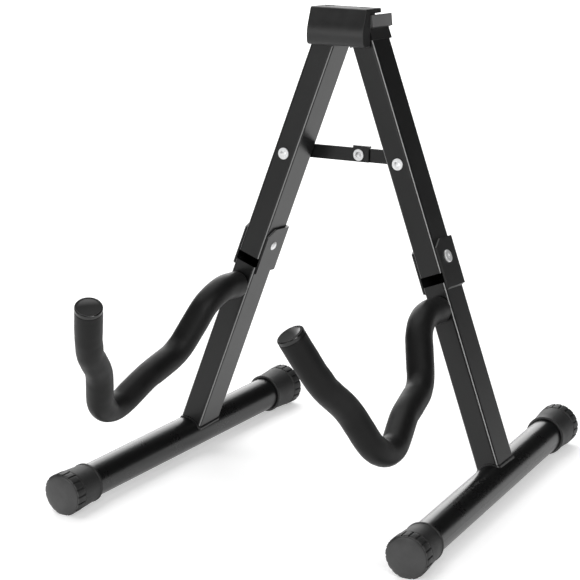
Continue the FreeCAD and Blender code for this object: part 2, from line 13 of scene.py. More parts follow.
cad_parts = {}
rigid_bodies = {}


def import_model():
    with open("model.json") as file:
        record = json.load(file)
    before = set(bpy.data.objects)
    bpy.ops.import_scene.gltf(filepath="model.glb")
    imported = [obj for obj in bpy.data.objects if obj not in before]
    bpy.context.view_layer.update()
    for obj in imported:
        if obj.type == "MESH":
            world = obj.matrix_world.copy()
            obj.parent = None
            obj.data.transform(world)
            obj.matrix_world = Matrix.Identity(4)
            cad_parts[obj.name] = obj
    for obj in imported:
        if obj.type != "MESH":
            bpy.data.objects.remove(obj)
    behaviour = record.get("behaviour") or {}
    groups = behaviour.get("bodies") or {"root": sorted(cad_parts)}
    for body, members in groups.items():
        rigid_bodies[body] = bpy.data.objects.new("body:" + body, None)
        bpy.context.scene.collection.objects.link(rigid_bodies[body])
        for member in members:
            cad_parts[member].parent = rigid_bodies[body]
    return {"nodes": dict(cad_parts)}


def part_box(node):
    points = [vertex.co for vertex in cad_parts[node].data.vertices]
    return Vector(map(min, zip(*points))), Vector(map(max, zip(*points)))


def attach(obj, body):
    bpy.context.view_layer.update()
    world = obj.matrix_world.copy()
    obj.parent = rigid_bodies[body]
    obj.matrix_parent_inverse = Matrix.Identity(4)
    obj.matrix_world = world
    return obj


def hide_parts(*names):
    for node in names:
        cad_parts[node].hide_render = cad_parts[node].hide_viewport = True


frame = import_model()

LOG = logging.getLogger("guitar_stand")

MM = 0.001
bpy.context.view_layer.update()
NODES: Mapping[str, bpy.types.Object] = frame["nodes"]


class Side(Enum):
    """A side of the stand, with the sign of its X."""

    LEFT = -1
    RIGHT = 1

    @property
    def label(self) -> str:
        """Prefix of this side's node and body names."""
        return self.name.lower()


class End(Enum):
    """An end of a foot tube, with the sign of its direction from the leg."""

    FRONT = 1
    REAR = -1


# ---------------------------------------------------------------- shader maths


class Signal:
    """A shader socket that takes part in Python expressions."""

    def __init__(self, shader: "Shader", socket: bpy.types.NodeSocket) -> None:
        """Wraps a socket.

        Args:
            shader: the material under construction.
            socket: the output socket that carries the value.
        """
        self.shader = shader
        self.socket = socket

    def _join(self, operation: str, first: Any, second: Any) -> "Signal":
        """Adds one Math node.

        Args:
            operation: the Math node's operation.
            first: left value.
            second: right value.

        Returns:
            The node's result.
        """
        node = self.shader.node("ShaderNodeMath", {"operation": operation}, {0: first, 1: second})
        return Signal(self.shader, node.outputs[0])

    def __add__(self, other: Any) -> "Signal":
        """Sum."""
        return self._join("ADD", self, other)

    def __radd__(self, other: Any) -> "Signal":
        """Sum with a number on the left."""
        return self._join("ADD", other, self)

    def __sub__(self, other: Any) -> "Signal":
        """Difference."""
        return self._join("SUBTRACT", self, other)

    def __rsub__(self, other: Any) -> "Signal":
        """Difference with a number on the left."""
        return self._join("SUBTRACT", other, self)

    def __mul__(self, other: Any) -> "Signal":
        """Product."""
        return self._join("MULTIPLY", self, other)

    def __rmul__(self, other: Any) -> "Signal":
        """Product with a number on the left."""
        return self._join("MULTIPLY", other, self)

    def between(self, low: float, high: float) -> "Signal":
        """Maps a 0 to 1 value to low to high.

        Args:
            low: result at 0.
            high: result at 1.

        Returns:
            The mapped value.
        """
        return low + self * (high - low)


class Shader:
    """One procedural material on a Principled surface."""

    def __init__(self, name: str) -> None:
        """Makes an empty material.

        Args:
            name: the material's name.
        """
        self.material = bpy.data.materials.new(name)
        self.material.use_nodes = True
        self.tree = self.material.node_tree
        self.tree.nodes.clear()
        self.surface = self.node("ShaderNodeBsdfPrincipled", {}, {})
        self.node("ShaderNodeOutputMaterial", {}, {"Surface": self.surface.outputs[0]})
        coordinates = self.node("ShaderNodeTexCoord", {}, {})
        self.place = coordinates.outputs["Object"]
        self.normal = coordinates.outputs["Normal"]

    def node(
        self, kind: str, settings: Mapping[str, Any], sockets: Mapping[Union[str, int], Any]
    ) -> bpy.types.Node:
        """Adds a node, sets it and feeds its sockets.

        Args:
            kind: the node's type name.
            settings: attributes, set first; "stops" sets a colour ramp.
            sockets: values, sockets or signals by input name or number.

        Returns:
            The new node.
        """
        made = self.tree.nodes.new(kind)
        for key, value in settings.items():
            if key == "stops":
                self._stops(made.color_ramp, value)
            else:
                setattr(made, key, value)
        for key, value in sockets.items():
            source = value.socket if isinstance(value, Signal) else value
            if isinstance(source, bpy.types.NodeSocket):
                self.tree.links.new(source, made.inputs[key])
            else:
                made.inputs[key].default_value = source
        return made

    @staticmethod
    def _stops(ramp: bpy.types.ColorRamp, stops: Sequence[tuple[float, float]]) -> None:
        """Sets a grey colour ramp.

        Args:
            ramp: the node's ramp.
            stops: position and grey value of each stop.
        """
        while len(ramp.elements) < len(stops):
            ramp.elements.new(0.5)
        for element, (position, grey) in zip(ramp.elements, stops):
            element.position = position
            element.color = (grey, grey, grey, 1.0)

    def noise(self, size: float, detail: float = 2.0, roughness: float = 0.5) -> Signal:
        """Soft noise over the surface.

        Args:
            size: feature size in metres.
            detail: octaves.
            roughness: weight of the finer octaves.

        Returns:
            A value near 0.5.
        """
        made = self.node(
            "ShaderNodeTexNoise", {},
            {"Vector": self.place, "Scale": 1.0 / size, "Detail": detail, "Roughness": roughness},
        )
        return Signal(self, made.outputs[0])

    def cells(self, size: float) -> Signal:
        """Distance to the nearest cell centre.

        Args:
            size: cell size in metres.

        Returns:
            0 at a cell's centre, about 0.7 at its edge.
        """
        made = self.node(
            "ShaderNodeTexVoronoi", {}, {"Vector": self.place, "Scale": 1.0 / size}
        )
        return Signal(self, made.outputs["Distance"])

    def ramp(self, value: Signal, *stops: tuple[float, float]) -> Signal:
        """Runs a value through a grey ramp.

        Args:
            value: the value.
            stops: position and grey of each stop.

        Returns:
            The ramp's value.
        """
        made = self.node("ShaderNodeValToRGB", {"stops": stops}, {"Fac": value})
        return Signal(self, made.outputs[0])

    def blend(self, mask: Signal, low: Any, high: Any) -> Signal:
        """Mixes two colours.

        Args:
            mask: 0 gives low, 1 gives high.
            low: first colour, as numbers or a signal.
            high: second colour, as numbers or a signal.

        Returns:
            The colour.
        """
        first, second = (
            colour if isinstance(colour, Signal) else (*colour[:3], 1.0) for colour in (low, high)
        )
        made = self.node("ShaderNodeMix", {"data_type": "RGBA"}, {0: mask, 6: first, 7: second})
        return Signal(self, made.outputs[2])

    def along(self, vector: Any, axis: Vector) -> Signal:
        """How far a vector reaches along an axis.

        Args:
            vector: a vector socket.
            axis: the axis.

        Returns:
            The dot product.
        """
        made = self.node(
            "ShaderNodeVectorMath", {"operation": "DOT_PRODUCT"}, {0: vector, 1: tuple(axis)}
        )
        return Signal(self, made.outputs["Value"])

    def mirrored_place(self) -> bpy.types.NodeSocket:
        """The place on the surface with both sides of the stand folded onto the right."""
        made = self.node("ShaderNodeVectorMath", {"operation": "ABSOLUTE"}, {0: self.place})
        return made.outputs[0]

    def relief(self, height: Signal, depth: float) -> None:
        """Feeds a height into the surface's Normal.

        Args:
            height: 0 to 1.
            depth: metres from 0 to 1.
        """
        made = self.node(
            "ShaderNodeBump", {}, {"Height": height, "Distance": depth, "Strength": 1.0}
        )
        self.feed(Normal=made.outputs[0])

    def feed(self, **values: Any) -> None:
        """Sets the surface's sockets; an underscore in a name stands for a space."""
        for name, value in values.items():
            key = name.replace("_", " ")
            source = value.socket if isinstance(value, Signal) else value
            if isinstance(source, bpy.types.NodeSocket):
                self.tree.links.new(source, self.surface.inputs[key])
            else:
                self.surface.inputs[key].default_value = source


# ---------------------------------------------------------------- stance


@dataclass(frozen=True)
class Stance:
    """How the legs and feet stand; lengths in metres, angles in radians."""

    spread: float = math.radians(20.33)
    lean: float = math.radians(6.85)
    toe_out: float = math.radians(4.0)
    foot_front: float = 183.0 * MM
    foot_rear: float = 136.0 * MM
    foot_height: float = 17.0 * MM

    @property
    def back(self) -> Vector:
        """Unit vector square to the legs' plane, towards the rear."""
        return Vector((0.0, math.cos(self.lean), -math.sin(self.lean)))

    def foot_direction(self, side: Side) -> Vector:
        """Unit vector along a foot towards the front."""
        return Vector((side.value * math.sin(self.toe_out), -math.cos(self.toe_out), 0.0))

    def foot_centre(self, side: Side) -> Vector:
        """Point on the foot's axis under the leg."""
        low, high = (Vector(corner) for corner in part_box(f"{side.label}_foot_tube"))
        middle = (low + high) / 2
        middle.z = self.foot_height
        return middle - self.foot_direction(side) * ((self.foot_front - self.foot_rear) / 2)

    def cap_frame(self, side: Side, end: End) -> Matrix:
        """Frame of a foot's end: z out of the end, y up, origin under the leg."""
        outward = self.foot_direction(side) * end.value
        across = Vector((0.0, 0.0, 1.0)).cross(outward)
        return frame_matrix(self.foot_centre(side), across, Vector((0.0, 0.0, 1.0)), outward)

    def leg_frame(self, side: Side) -> Matrix:
        """Frame of a leg at its foot: x outward, y to the back, z up the leg."""
        up_plane = Vector((0.0, math.sin(self.lean), math.cos(self.lean)))
        across = Vector((float(side.value), 0.0, 0.0))
        up = up_plane * math.cos(self.spread) - across * math.sin(self.spread)
        out = across * math.cos(self.spread) + up_plane * math.sin(self.spread)
        return frame_matrix(self.foot_centre(side), out, self.back, up)


def frame_matrix(origin: Vector, x_axis: Vector, y_axis: Vector, z_axis: Vector) -> Matrix:
    """Matrix with the given origin and axes."""
    made = Matrix((x_axis, y_axis, z_axis)).transposed().to_4x4()
    made.translation = origin
    return made


# ---------------------------------------------------------------- finishes


def grey(value: float, warmth: float = 0.0) -> tuple[float, float, float]:
    """A grey with a slight tint.

    Args:
        value: linear brightness.
        warmth: above 0 is warmer, below 0 cooler.

    Returns:
        Linear RGB.
    """
    return (value * (1.0 + warmth), value, value * (1.0 - warmth))


@dataclass(frozen=True)
class PaintFinish:
    """Sprayed or powder-coated paint on steel."""

    name: str
    shade: float
    roughness: float
    peel_size: float
    peel_depth: float
    # Grey of the painted highlight along rounded corners; 0 for none.
    edge: float = 0.0
    specular: float = 0.5
    patch_size: float = 28 * MM
    fleck_size: float = 0.35 * MM
    corner_stops: tuple[tuple[float, float], ...] = ((0.78, 0.0), (0.97, 1.0))

    def make(self) -> bpy.types.Material:
        """Builds the material."""
        shader = Shader(self.name)
        patches = shader.noise(self.patch_size, 3.0)
        peel = shader.noise(self.peel_size, 2.0, 0.45)
        fleck = shader.ramp(shader.noise(self.fleck_size, 1.0), (0.62, 0.0), (0.74, 1.0))
        shade = shader.blend(
            patches * 0.7 + fleck * 0.3,
            grey(self.shade * 0.82, -0.02), grey(self.shade * 1.2, -0.02),
        )
        # Painted highlight: the rounded corners are lightened towards a light grey.
        if self.edge:
            shade = shader.blend(self._worn(shader), shade, grey(self.edge))
        gloss = patches * 0.6 + peel * 0.4
        shader.feed(
            Base_Color=shade,
            Roughness=gloss.between(self.roughness - 0.05, self.roughness + 0.06),
            Specular_IOR_Level=self.specular,
            IOR=1.5,
        )
        shader.relief(peel, self.peel_depth)
        return shader.material

    def _worn(self, shader: Shader) -> Signal:
        """Where the painted highlight goes: the middle of a leg tube's rounded corners.

        Args:
            shader: the material under construction.

        Returns:
            1 along the corners, 0 on the flats.
        """
        facing = shader.along(shader.normal, Stance().back)
        square = facing * facing
        return shader.ramp(4.0 * square * (1.0 - square), *self.corner_stops)


@dataclass(frozen=True)
class MouldedFinish:
    """Injection-moulded plastic or rubber with a fine spark-eroded grain.

    Some pieces have faces that are duller than the rest and carry painted shade that makes them
    darker. A ramp picks them by the square of how far their normal reaches along an axis.
    """

    name: str
    shade: float
    roughness: float
    grain_size: float
    grain_depth: float
    bloom: float
    matte_axis: tuple[float, float, float] = (0.0, 0.0, 1.0)
    matte_stops: tuple[tuple[float, float], ...] = ()
    matte_roughness: float = 0.0
    # Share of the colour kept on the picked faces: painted shade.
    matte_shade: float = 1.0
    dust_size: float = 17 * MM

    def make(self) -> bpy.types.Material:
        """Builds the material."""
        shader = Shader(self.name)
        grain = shader.noise(self.grain_size, 3.0, 0.6)
        pits = shader.ramp(shader.cells(self.grain_size * 2.2), (0.05, 0.0), (0.35, 1.0))
        dust = shader.ramp(shader.noise(self.dust_size, 4.0, 0.6), (0.42, 0.0), (0.68, 1.0))
        shade = shader.blend(
            dust * 0.6 + grain * 0.4,
            grey(self.shade * 0.85), grey(self.shade * (1.0 + self.bloom)),
        )
        # Hook for painted shade; the leg cap paints its skirt dark here.
        shade = self.tint(shader, shade)
        gloss = (grain * 0.5 + dust * 0.5).between(self.roughness - 0.07, self.roughness + 0.07)
        # Painted shade: the picked faces are darkened as well as made rougher.
        if self.matte_stops:
            facing = shader.along(shader.normal, Vector(self.matte_axis))
            dull_and_shaded = shader.ramp(facing * facing, *self.matte_stops)
            shade = shader.blend(dull_and_shaded, shade, grey(self.shade * self.matte_shade))
            gloss = gloss + dull_and_shaded * (self.matte_roughness - self.roughness)
        shader.feed(Base_Color=shade, Roughness=gloss, IOR=1.48)
        shader.relief(grain * 0.6 + pits * 0.4, self.grain_depth)
        return shader.material

    def tint(self, shader: Shader, shade: Signal) -> Signal:
        """Adds no painted shade; leaves the colour as it is."""
        return shade


@dataclass(frozen=True, kw_only=True)
class LegCapFinish(MouldedFinish):
    """Leg cap plastic: a matte grey head, with painted shade making the skirt below it black."""

    skirt: float
    skirt_top: float
    line_width: float = 0.4 * MM

    def tint(self, shader: Shader, shade: Signal) -> Signal:
        """Paints shade onto the skirt, making it near black.

        Args:
            shader: the material under construction.
            shade: the head's colour.

        Returns:
            The cap's colour.
        """
        stance = Stance()
        foot = stance.foot_centre(Side.RIGHT)
        up = stance.leg_frame(Side.RIGHT).col[2].xyz
        rise = shader.along(shader.mirrored_place(), up)
        # Mask: 1 on the head, 0 on the skirt, which gets painted shade.
        head_unshaded = (rise - (foot.dot(up) + self.skirt_top)) * (1.0 / self.line_width)
        return shader.blend(shader.ramp(head_unshaded, (0.0, 0.0), (1.0, 1.0)), grey(self.skirt), shade)


@dataclass(frozen=True)
class FoamFinish:
    """Closed-cell foam with a matte skin that catches light at a glance."""

    name: str
    shade: float
    roughness: float
    cell: float
    depth: float
    sheen: float
    specular: float = 0.24
    skin_size: float = 2.4 * MM
    scuff_size: float = 11 * MM

    def make(self) -> bpy.types.Material:
        """Builds the material."""
        shader = Shader(self.name)
        pores = shader.ramp(shader.cells(self.cell), (0.0, 0.0), (0.45, 1.0))
        skin = shader.noise(self.skin_size, 4.0, 0.6)
        scuff = shader.ramp(shader.noise(self.scuff_size, 3.0, 0.55), (0.4, 0.0), (0.7, 1.0))
        shade = shader.blend(
            pores * 0.35 + skin * 0.35 + scuff * 0.3,
            grey(self.shade * 0.62), grey(self.shade * 1.45),
        )
        gloss = skin * 0.5 + scuff * 0.5
        shader.feed(
            Base_Color=shade,
            Roughness=gloss.between(self.roughness - 0.08, self.roughness + 0.06),
            Sheen_Weight=self.sheen,
            Sheen_Roughness=0.45,
            Specular_IOR_Level=self.specular,
            IOR=1.4,
        )
        shader.relief(pores * 0.4 + skin * 0.6, self.depth)
        return shader.material


@dataclass(frozen=True)
class ZincFinish:
    """Bright zinc plate, barrel polished."""

    name: str
    shade: float
    roughness: float
    tumble_size: float = 1.1 * MM
    cloud_size: float = 3.0 * MM

    def make(self) -> bpy.types.Material:
        """Builds the material."""
        shader = Shader(self.name)
        tumble = shader.noise(self.tumble_size, 4.0, 0.65)
        cloud = shader.noise(self.cloud_size, 2.0)
        gloss = tumble * 0.6 + cloud * 0.4
        shader.feed(
            Base_Color=shader.blend(cloud, grey(self.shade * 0.86, -0.02), grey(self.shade, 0.01)),
            Metallic=1.0,
            Roughness=gloss.between(self.roughness - 0.02, self.roughness + 0.02),
        )
        return shader.material


class Finish(Enum):
    """Every finish on the stand."""

    # The corner grey 0.22 is a painted highlight along the leg tubes' rounded corners.
    POWDER = PaintFinish(
        "powder_coat", 0.0055, 0.30, 0.60 * MM, 0.006 * MM, edge=0.22, specular=0.42
    )
    GLOSS = PaintFinish("gloss_paint", 0.0040, 0.28, 2.2 * MM, 0.0005 * MM)
    WELD = PaintFinish("painted_weld", 0.0050, 0.36, 1.3 * MM, 0.04 * MM)
    SCREW = PaintFinish("black_screw", 0.0040, 0.45, 0.6 * MM, 0.004 * MM)
    # Painted shade on the end walls, and partly the top: darker as well as rougher.
    HEAD = MouldedFinish(
        "head_plastic", 0.017, 0.38, 0.32 * MM, 0.006 * MM, 0.35,
        matte_axis=(0.85, 0.0, 0.53), matte_stops=((0.12, 0.0), (0.28, 0.38), (0.70, 1.0)),
        matte_roughness=1.0, matte_shade=0.1,
    )
    # The skirt below skirt_top is painted near black as shade.
    LEG_CAP = LegCapFinish(
        "leg_cap_plastic", 0.075, 0.45, 0.35 * MM, 0.006 * MM, 0.3,
        skirt=0.004, skirt_top=370.7 * MM,
    )
    # Painted shade on the end disc: a little darker as well as rougher.
    TIP = MouldedFinish(
        "tip_plastic", 0.006, 0.22, 0.5 * MM, 0.003 * MM, 0.3,
        matte_stops=((0.66, 0.0), (0.76, 1.0)), matte_roughness=0.9, matte_shade=0.8,
    )
    NYLON = MouldedFinish("nylon", 0.02, 0.5, 0.4 * MM, 0.005 * MM, 0.2)
    # Painted shade on the pads and skirt, whose normals lie across the foot: darker as well as
    # rougher.
    RUBBER = MouldedFinish(
        "foot_rubber", 0.036, 0.34, 0.45 * MM, 0.008 * MM, 0.45,
        matte_axis=(0.0, 1.0, 0.0), matte_stops=((0.55, 1.0), (0.80, 0.0)),
        matte_roughness=0.60, matte_shade=0.30,
    )
    FOAM = FoamFinish("sleeve_foam", 0.0045, 0.50, 0.62 * MM, 0.014 * MM, 0.03)
    ZINC = ZincFinish("zinc_plate", 0.88, 0.50)


class Finishes:
    """Makes each finish once and hands it out."""

    def __init__(self) -> None:
        """Starts with no materials."""
        self._made: dict[Finish, bpy.types.Material] = {}

    def get(self, finish: Finish) -> bpy.types.Material:
        """The material of a finish, made on first use."""
        if finish not in self._made:
            self._made[finish] = finish.value.make()
        return self._made[finish]


NODE_FINISH: Mapping[str, Finish] = {
    "upper_leg": Finish.POWDER,
    "lower_leg": Finish.POWDER,
    "knee_bracket": Finish.POWDER,
    "head_plate": Finish.POWDER,
    "spreader_left_link": Finish.POWDER,
    "spreader_right_link": Finish.POWDER,
    "foot_tube": Finish.GLOSS,
    "arm_rod": Finish.GLOSS,
    "knee_weld": Finish.WELD,
    "foot_weld": Finish.WELD,
    "arm_weld": Finish.WELD,
    "head_cover": Finish.HEAD,
    "leg_cap": Finish.LEG_CAP,
    "arm_tip": Finish.TIP,
    "pivot_washer": Finish.NYLON,
    "spreader_washer": Finish.NYLON,
    "spreader_spacer": Finish.NYLON,
    "front_foot_cap": Finish.RUBBER,
    "rear_foot_cap": Finish.RUBBER,
    "arm_foam": Finish.FOAM,
    "pivot_rivet": Finish.ZINC,
    "knee_rivet": Finish.ZINC,
    "spreader_rivet": Finish.ZINC,
    "spreader_middle_rivet": Finish.ZINC,
    "spreader_tail_rivet": Finish.ZINC,
    "cover_screws": Finish.SCREW,
}


# ---------------------------------------------------------------- modelling helpers


def select_only(piece: Union[bpy.types.Object, None]) -> None:
    """Leaves one object selected and active, or none."""
    for thing in bpy.context.view_layer.objects:
        thing.select_set(False)
    bpy.context.view_layer.objects.active = piece
    if piece is not None:
        piece.select_set(True)


def pick_faces(piece: bpy.types.Object, test: Callable[[bpy.types.MeshPolygon], bool]) -> None:
    """Selects faces in edit mode.

    Args:
        piece: the object, in edit mode.
        test: says whether a face is wanted.
    """
    bpy.ops.mesh.select_mode(type="FACE")
    bpy.ops.mesh.select_all(action="DESELECT")
    bpy.ops.object.mode_set(mode="OBJECT")
    for polygon in piece.data.polygons:
        polygon.select = test(polygon)
    bpy.ops.object.mode_set(mode="EDIT")


def settle(piece: bpy.types.Object, place: Matrix) -> None:
    """Moves a finished mesh to its place and leaves its object at the origin."""
    piece.matrix_world = Matrix.Identity(4)
    piece.data.transform(place)
    piece.data.update()


def finish_modifier(piece: bpy.types.Object, kind: str, **settings: Any) -> None:
    """Adds a modifier and applies it.

    Args:
        piece: the object.
        kind: the modifier's type.
        settings: its values.
    """
    select_only(piece)
    made = piece.modifiers.new(kind.title(), kind)
    for key, value in settings.items():
        setattr(made, key, value)
    bpy.ops.object.modifier_apply(modifier=made.name)


def dress(piece: bpy.types.Object, material: bpy.types.Material) -> None:
    """Gives a new piece its only material."""
    piece.data.materials.clear()
    piece.data.materials.append(material)


# ---------------------------------------------------------------- foot caps


@dataclass
class FootCap:
    """Moulded rubber cap with a ring of pads behind its domed face."""

    length: float = 35.0 * MM
    bore: float = 14.05 * MM
    bore_end: float = 31.8 * MM
    sole: float = 17.0 * MM
    pads: int = 18
    columns: int = 8
    groove_columns: int = 2
    groove_depth: float = 0.9 * MM
    band_low: float = 23.4 * MM
    band_high: float = 32.6 * MM
    band_radius: float = 16.8 * MM
    edge_round: float = 0.22 * MM
    edge_angle: float = math.radians(38.0)
    smooth_angle: float = math.radians(32.0)
    profile: Sequence[tuple[float, float]] = (
        (14.05, 0.5), (14.5, 0.0), (15.9, 0.0), (16.3, 0.4), (16.3, 2.1), (15.9, 2.4),
        (15.8, 3.4), (16.2, 10.0), (16.6, 16.0), (16.9, 21.0), (17.0, 22.4), (16.6, 22.6),
        (16.5, 23.0), (17.3, 23.5), (17.5, 32.2), (16.9, 32.6), (16.4, 32.7), (16.5, 33.0),
        (16.1, 33.3), (15.0, 33.65), (12.8, 34.15), (9.8, 34.6), (6.4, 34.88), (3.0, 35.0),
    )

    def build(self, name: str) -> bpy.types.Object:
        """Models one cap standing on z = 0, mouth down.

        Args:
            name: the object's name.

        Returns:
            The cap.
        """
        select_only(None)
        around = self.pads * self.columns
        bpy.ops.mesh.primitive_circle_add(
            vertices=around, radius=self.bore, fill_type="NGON", location=(0, 0, self.bore_end)
        )
        piece = bpy.context.object
        piece.name = piece.data.name = name
        bpy.ops.object.transform_apply(location=True, rotation=False, scale=False)
        bpy.ops.object.mode_set(mode="EDIT")
        bpy.ops.mesh.select_mode(type="EDGE")
        bpy.ops.mesh.select_all(action="SELECT")
        radius, height = self.bore, self.bore_end
        for ring_radius, ring_height in self.profile:
            self._ring(ring_radius * MM / radius, ring_height * MM - height)
            radius, height = ring_radius * MM, ring_height * MM
        bpy.ops.mesh.edge_face_add()
        bpy.ops.mesh.select_all(action="SELECT")
        bpy.ops.mesh.normals_make_consistent(inside=False)
        self._grooves(piece)
        bpy.ops.mesh.select_all(action="SELECT")
        bpy.ops.mesh.bisect(
            plane_co=(0.0, -self.sole, 0.0), plane_no=(0.0, -1.0, 0.0),
            use_fill=True, clear_outer=True,
        )
        bpy.ops.mesh.select_all(action="SELECT")
        bpy.ops.mesh.normals_make_consistent(inside=False)
        bpy.ops.object.mode_set(mode="OBJECT")
        finish_modifier(
            piece, "BEVEL", width=self.edge_round, segments=2, limit_method="ANGLE",
            angle_limit=self.edge_angle,
        )
        bpy.ops.object.shade_smooth_by_angle(angle=self.smooth_angle)
        return piece

    @staticmethod
    def _ring(scale: float, rise: float) -> None:
        """Extrudes the open rim to the next ring of the profile.

        Args:
            scale: the new ring's radius over the last one's.
            rise: how far the ring moves along the cap.
        """
        bpy.ops.mesh.extrude_edges_move(TRANSFORM_OT_translate={"value": (0.0, 0.0, rise)})
        bpy.ops.transform.resize(value=(scale, scale, 1.0), center_override=(0.0, 0.0, 0.0))

    def _grooves(self, piece: bpy.types.Object) -> None:
        """Sinks the grooves between the pads."""
        column = math.tau / (self.pads * self.columns)

        def in_groove(polygon: bpy.types.MeshPolygon) -> bool:
            """Whether a face lies in a groove column of the pad band."""
            centre = polygon.center
            if not self.band_low < centre.z < self.band_high:
                return False
            if centre.xy.length < self.band_radius:
                return False
            number = int((math.atan2(centre.y, centre.x) % math.tau) / column)
            return number % self.columns < self.groove_columns

        pick_faces(piece, in_groove)
        bpy.ops.mesh.extrude_region_shrink_fatten(
            TRANSFORM_OT_shrink_fatten={"value": -self.groove_depth}
        )


@dataclass
class FootCaps:
    """The four rubber caps."""

    stance: Stance
    finishes: Finishes
    cap: FootCap = field(default_factory=FootCap)

    def build(self) -> list[bpy.types.Object]:
        """Models one cap and sets a copy on each foot end.

        Returns:
            The four caps.
        """
        master = self.cap.build("foot_cap_master")
        dress(master, self.finishes.get(Finish.RUBBER))
        made = []
        for side in Side:
            for end in End:
                reach = self.stance.foot_front if end is End.FRONT else self.stance.foot_rear
                piece = master.copy()
                piece.data = master.data.copy()
                node = f"{side.label}_{end.name.lower()}_foot_cap"
                piece.name = piece.data.name = f"{node}_rubber"
                bpy.context.collection.objects.link(piece)
                offset = Matrix.Translation((0.0, 0.0, reach - self.cap.length))
                settle(piece, self.stance.cap_frame(side, end) @ offset)
                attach(piece, f"{side.label}_lower")
                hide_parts(node)
                made.append(piece)
        bpy.data.objects.remove(master)
        return made


# ---------------------------------------------------------------- cradle arms


@dataclass
class ArmSleeve:
    """Foam sleeve on a bent cradle arm; the route is in millimetres from the foot axis."""

    stance: Stance
    finishes: Finishes
    root_height: float = 141.5
    start: float = 16.8
    corners: Sequence[tuple[float, float, float]] = (
        (53.0, 141.5, 34.0),
        (79.0, 88.6, 33.0),
        (115.2, 74.0, 35.0),
        (164.2, 40.0, 27.0),
        (192.0, 93.2, 53.0),
        (215.0, 113.2, 30.0),
        (224.0, 127.2, 32.0),
    )
    end: tuple[float, float] = (240.0, 159.4)
    low_corner: int = 3
    tip: float = 3.4
    radius: float = 11.0
    step: float = 1.6
    end_round: Sequence[tuple[float, float]] = ((0.0, 0.93), (0.35, 0.975), (1.0, 1.0))
    squeeze: float = 0.02
    squeeze_bend: float = 27.0
    smoothing: int = 6
    gather: float = 0.5
    gather_angle: float = 0.40
    gather_width: float = 0.30
    fold: float = 2.6
    fold_width: float = 0.20
    gather_end: float = 0.6
    gather_power: float = 1.5
    lumps: Sequence[tuple[str, float, float]] = (("swell", 21.0, 0.55), ("dimple", 6.0, 0.16))
    weld: float = 0.01
    smooth_angle: float = math.radians(50.0)

    def route(self) -> list[Vector]:
        """Centre line as close-set points, with straight runs and round bends.

        Returns:
            Points as (forward, height), in millimetres.
        """
        last = Vector(self.end)
        run = (last - Vector(self.corners[-1][:2])).normalized()
        stops = [Vector((self.start, self.root_height))]
        stops += [Vector(corner[:2]) for corner in self.corners]
        stops.append(last - run * self.tip)
        line = [stops[0]]
        for before, corner, after, (_, _, bend) in zip(stops, stops[1:], stops[2:], self.corners):
            arrive = (corner - before).normalized()
            leave = (after - corner).normalized()
            half = arrive.angle(leave) / 2
            reach = bend * math.tan(half)
            centre = corner + (leave - arrive).normalized() * (bend / math.cos(half))
            self._straight(line, corner - arrive * reach)
            pieces = max(4, int(2 * half * bend / self.step))
            first = corner - arrive * reach - centre
            turn = 1.0 if arrive.x * leave.y - arrive.y * leave.x > 0 else -1.0
            for i in range(1, pieces + 1):
                angle = turn * 2 * half * i / pieces
                spoke = Vector((
                    first.x * math.cos(angle) - first.y * math.sin(angle),
                    first.x * math.sin(angle) + first.y * math.cos(angle),
                ))
                line.append(centre + spoke)
        self._straight(line, stops[-1])
        return line

    def _straight(self, line: list[Vector], goal: Vector) -> None:
        """Adds evenly spaced points up to a goal.

        Args:
            line: the points so far.
            goal: the last point to add.
        """
        begin = line[-1].copy()
        pieces = max(1, round((goal - begin).length / self.step))
        line.extend(begin.lerp(goal, i / pieces) for i in range(1, pieces + 1))

    def build(self, side: Side) -> bpy.types.Object:
        """Models one sleeve.

        Args:
            side: which arm.

        Returns:
            The sleeve.
        """
        line = self.route()
        length = [0.0]
        for here, there in zip(line, line[1:]):
            length.append(length[-1] + (there - here).length)
        curve = bpy.data.curves.new(f"{side.label}_sleeve_line", "CURVE")
        curve.dimensions = "3D"
        curve.bevel_depth = self.radius * MM
        curve.bevel_resolution = 14
        curve.use_fill_caps = True
        spline = curve.splines.new("POLY")
        spots = self._spots(line, length)
        spline.points.add(len(spots) - 1)
        for point, (spot, scale) in zip(spline.points, spots):
            point.co = (0.0, -spot.x * MM, spot.y * MM, 1.0)
            point.radius = scale
        piece = bpy.data.objects.new(f"{side.label}_arm_sleeve", curve)
        bpy.context.collection.objects.link(piece)
        select_only(piece)
        bpy.ops.object.convert(target="MESH")
        piece = bpy.context.object
        piece.data.name = piece.name
        self._gather(piece)
        settle(piece, self.stance.leg_frame(side))
        self._soften(piece, side)
        dress(piece, self.finishes.get(Finish.FOAM))
        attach(piece, f"{side.label}_lower")
        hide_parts(f"{side.label}_arm_foam")
        return piece

    def _spots(self, line: list[Vector], length: list[float]) -> list[tuple[Vector, float]]:
        """Adds the rounded ends and the squeeze at each bend.

        Args:
            line: the centre line.
            length: the distance along it at each point.

        Returns:
            Points with their share of the sleeve's radius.
        """
        total = length[-1]
        first = (line[1] - line[0]).normalized()
        final = (line[-1] - line[-2]).normalized()
        spots = [(line[0] + first * gap, scale) for gap, scale in self.end_round]
        for i in range(1, len(line) - 1):
            if min(length[i], total - length[i]) < self.step:
                continue
            arrive = (line[i] - line[i - 1]).normalized()
            leave = (line[i + 1] - line[i]).normalized()
            turn = arrive.angle(leave) / (length[i + 1] - length[i])
            spots.append((line[i], 1.0 - self.squeeze * min(1.0, turn * self.squeeze_bend)))
        spots += [(line[-1] - final * gap, scale) for gap, scale in reversed(self.end_round)]
        smooth = [scale for _, scale in spots]
        for _ in range(self.smoothing):
            smooth[3:-3] = [
                (smooth[i - 1] + smooth[i] + smooth[i + 1]) / 3 for i in range(3, len(smooth) - 3)
            ]
        return [(spot, scale) for (spot, _), scale in zip(spots, smooth)]

